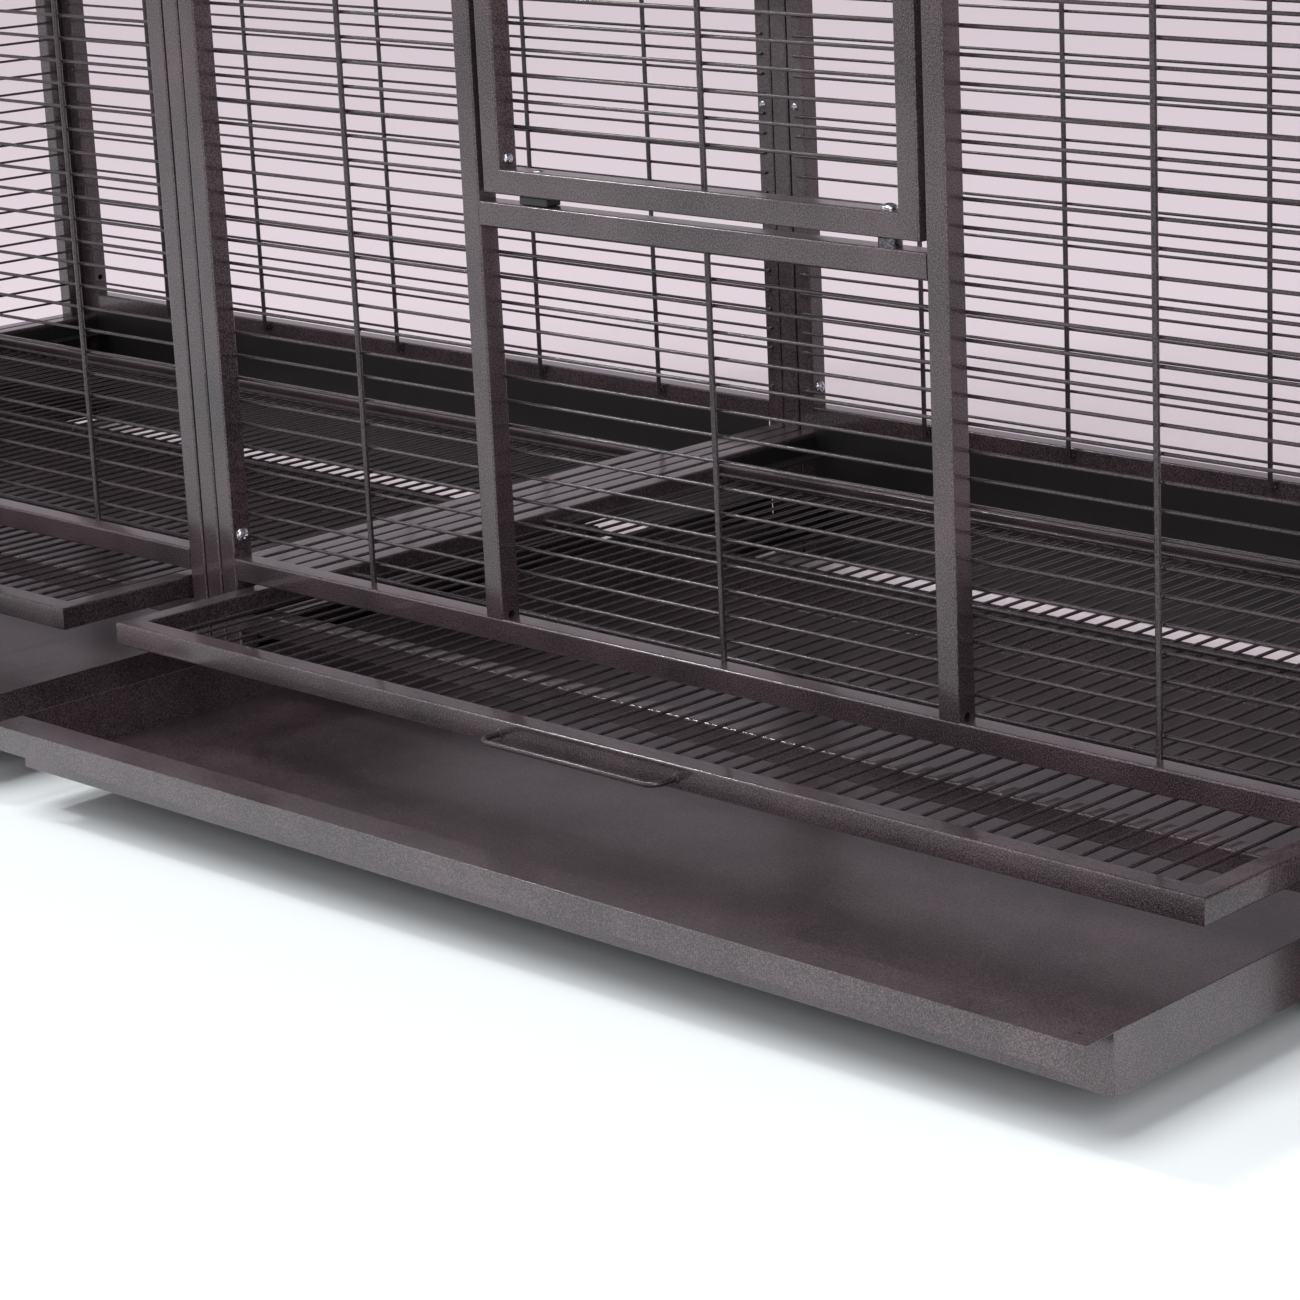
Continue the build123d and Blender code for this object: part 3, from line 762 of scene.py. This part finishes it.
def addWorld():
    world = bpy.data.worlds.new("studio")
    world.use_nodes = True
    tree = world.node_tree
    place = tree.nodes.new("ShaderNodeTexCoord")
    split = tree.nodes.new("ShaderNodeSeparateXYZ")
    height = tree.nodes.new("ShaderNodeMapRange")
    height.inputs["From Max"].default_value = studio["horizonEnds"]
    background = tree.nodes["Background"]
    background.inputs["Strength"].default_value = studio["strength"]
    tree.links.new(place.outputs["Generated"], split.inputs[0])
    tree.links.new(split.outputs["Z"], height.inputs["Value"])
    colour = addRamp(tree, height.outputs["Result"], studio["horizon"], studio["zenith"])
    tree.links.new(colour, background.inputs["Color"])
    bpy.context.scene.world = world


def placeLight(name, data, place, direction):
    light = bpy.data.objects.new(name, data)
    light.location = place
    light.rotation_euler = Vector(direction).to_track_quat("-Z", "Y").to_euler()
    bpy.context.scene.collection.objects.link(light)


def addLights():
    addWorld()
    data = bpy.data.lights.new("skyLight", "SUN")
    data.energy = skyLight["strength"]
    data.angle = radians(skyLight["angle"])
    placeLight("skyLight", data, skyLight["place"], skyLight["towards"])
    for name, values in softboxes.items():
        data = bpy.data.lights.new(name, "AREA")
        data.energy = values["power"]
        data.size = values["size"]
        placeLight(name, data, values["place"], Vector(values["aim"]) - Vector(values["place"]))


cameraValues = {
    "place": (2.4706, -2.1422, 0.9317), "azimuth": 41.546, "down": 14.408, "roll": 1.690,
    "focalPixels": 3539.3, "centrePixels": (886.0, 551.8), "imagePixels": 1300.0, "sensor": 36.0,
    "nearest": 0.05,
}


def addCamera():
    values = cameraValues
    data = bpy.data.cameras.new("camera")
    data.sensor_width = values["sensor"]
    data.lens = values["focalPixels"] * values["sensor"] / values["imagePixels"]
    half = values["imagePixels"] / 2
    data.shift_x = (half - values["centrePixels"][0]) / values["imagePixels"]
    data.shift_y = (values["centrePixels"][1] - half) / values["imagePixels"]
    data.clip_start = values["nearest"]
    camera = bpy.data.objects.new("camera", data)
    turn = Matrix.Rotation(radians(values["azimuth"]), 4, "Z")
    tilt = Matrix.Rotation(radians(90 - values["down"]), 4, "X")
    roll = Matrix.Rotation(radians(-values["roll"]), 4, "Z")
    camera.matrix_world = Matrix.Translation(values["place"]) @ turn @ tilt @ roll
    bpy.context.scene.collection.objects.link(camera)
    bpy.context.scene.camera = camera


addFloor()
addLights()
addCamera()
bpy.context.scene.view_settings.view_transform = "Standard"
print("floor, light and camera ready")
